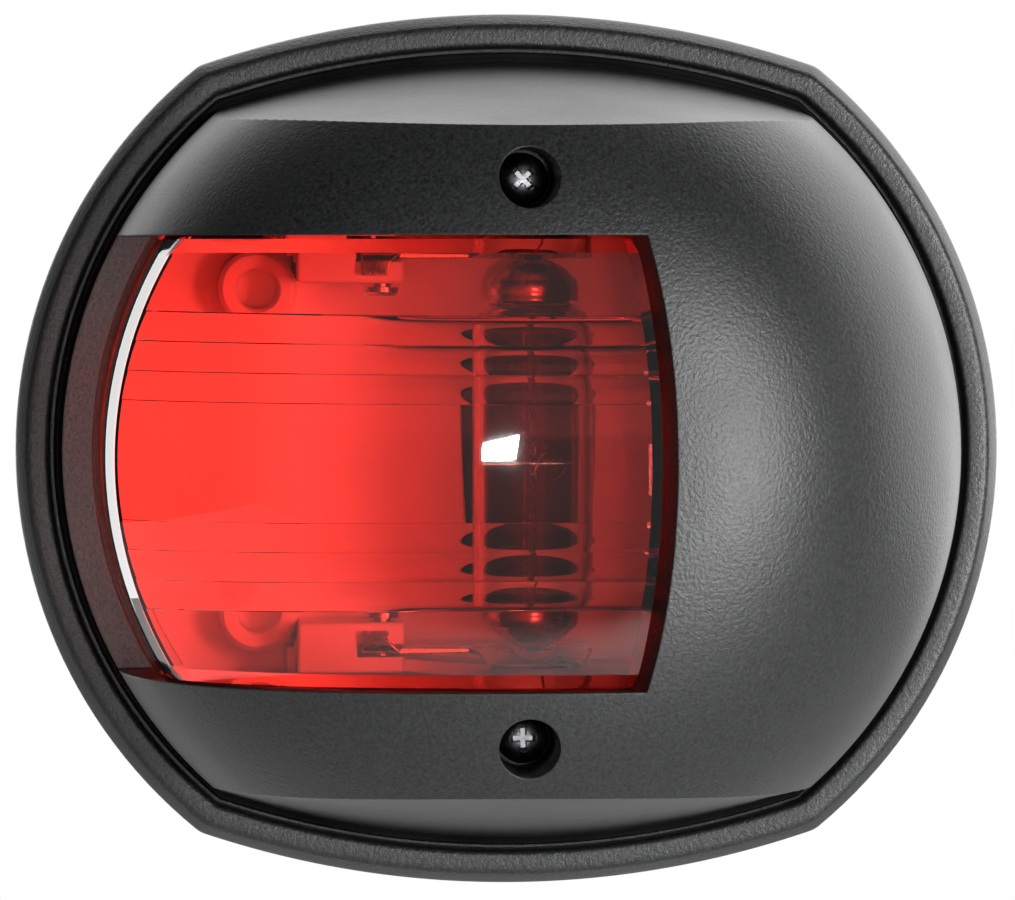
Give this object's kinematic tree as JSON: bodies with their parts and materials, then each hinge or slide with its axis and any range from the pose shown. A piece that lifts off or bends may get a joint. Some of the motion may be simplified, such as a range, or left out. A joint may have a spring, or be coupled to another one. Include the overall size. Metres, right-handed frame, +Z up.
{
  "type": "navigation light",
  "caption": "Port side navigation light: black moulded base and domed cover, red prismatic lens open over one side and the front, festoon bulb in spring contacts.",
  "frame": {"origin": "middle of the back face, in the plane of the wall the light is screwed to", "axes": "+Z up, +Y into the wall, -Y out towards the viewer, +X to the viewer's right, which is astern for a port light"},
  "size_m": [0.08, 0.041, 0.0706],
  "materials": {
    "black_plastic": "fine spark-eroded grain, satin",
    "white_plastic": "smooth white moulding",
    "red_lens": "clear red, polished outside, prisms inside",
    "clear_glass": "clear",
    "soft_rubber": "matt black",
    "glossy_rubber": "smooth black",
    "spring_brass": "rolled sheet",
    "cap_metal": "nickel plated",
    "bright_steel": "bright",
    "black_steel": "black plated, worn bright in the recess",
    "tungsten": "drawn wire"
  },
  "bodies": {
    "base": {"base_plate": "black_plastic", "wall_gasket": "soft_rubber", "cable_grommet": "soft_rubber", "cover_seal": "glossy_rubber", "lamp_carrier": "white_plastic", "upper_carrier_screw": "bright_steel", "lower_carrier_screw": "bright_steel", "upper_contact_rivet": "bright_steel", "lower_contact_rivet": "bright_steel"},
    "cover": {"front_cover": "black_plastic", "lens": "red_lens"},
    "upper_seal": {"upper_screw_seal": "soft_rubber"},
    "upper_screw": {"upper_cover_screw": "black_steel"},
    "lower_seal": {"lower_screw_seal": "soft_rubber"},
    "lower_screw": {"lower_cover_screw": "black_steel"},
    "upper_spring": {"upper_contact": "spring_brass"},
    "lower_spring": {"lower_contact": "spring_brass"},
    "bulb": {"bulb_glass": "clear_glass", "bulb_upper_cap": "cap_metal", "bulb_lower_cap": "cap_metal", "bulb_filament": "tungsten"}
  },
  "joints": [
    {"name": "cover_lift", "type": "slide", "parent": "base", "child": "cover", "axis": [0, -1, 0], "range_m": [0, 0.045]},
    {"name": "upper_screw_advance", "type": "slide", "parent": "cover", "child": "upper_seal", "axis": [0, -1, 0], "range_m": [0, 0.005]},
    {"name": "upper_screw_turn", "type": "hinge", "parent": "upper_seal", "child": "upper_screw", "pos_m": [0, -0.0262, 0.0217], "axis": [0, -1, 0], "range_deg": [0, 1441]},
    {"name": "lower_screw_advance", "type": "slide", "parent": "cover", "child": "lower_seal", "axis": [0, -1, 0], "range_m": [0, 0.005]},
    {"name": "lower_screw_turn", "type": "hinge", "parent": "lower_seal", "child": "lower_screw", "pos_m": [0, -0.0262, -0.0217], "axis": [0, -1, 0], "range_deg": [0, 1441]},
    {"name": "upper_contact_flex", "type": "hinge", "parent": "base", "child": "upper_spring", "pos_m": [-0.0085, -0.013, 0.0158], "axis": [0, -1, 0], "range_deg": [0, 3], "stiffness_Nm_per_rad": 0.1},
    {"name": "lower_contact_flex", "type": "hinge", "parent": "base", "child": "lower_spring", "pos_m": [-0.0085, -0.013, -0.0158], "axis": [0, 1, 0], "range_deg": [0, 3], "stiffness_Nm_per_rad": 0.1},
    {"name": "bulb_spin", "type": "hinge", "parent": "base", "child": "bulb", "pos_m": [0.0015, -0.013, 0], "axis": [0, 0, 1], "continuous": true}
  ],
  "couplings": [
    {"joint": "upper_screw_turn", "follows": "upper_screw_advance", "rad_per_m": 5026.6},
    {"joint": "lower_screw_turn", "follows": "lower_screw_advance", "rad_per_m": 5026.6}
  ]
}
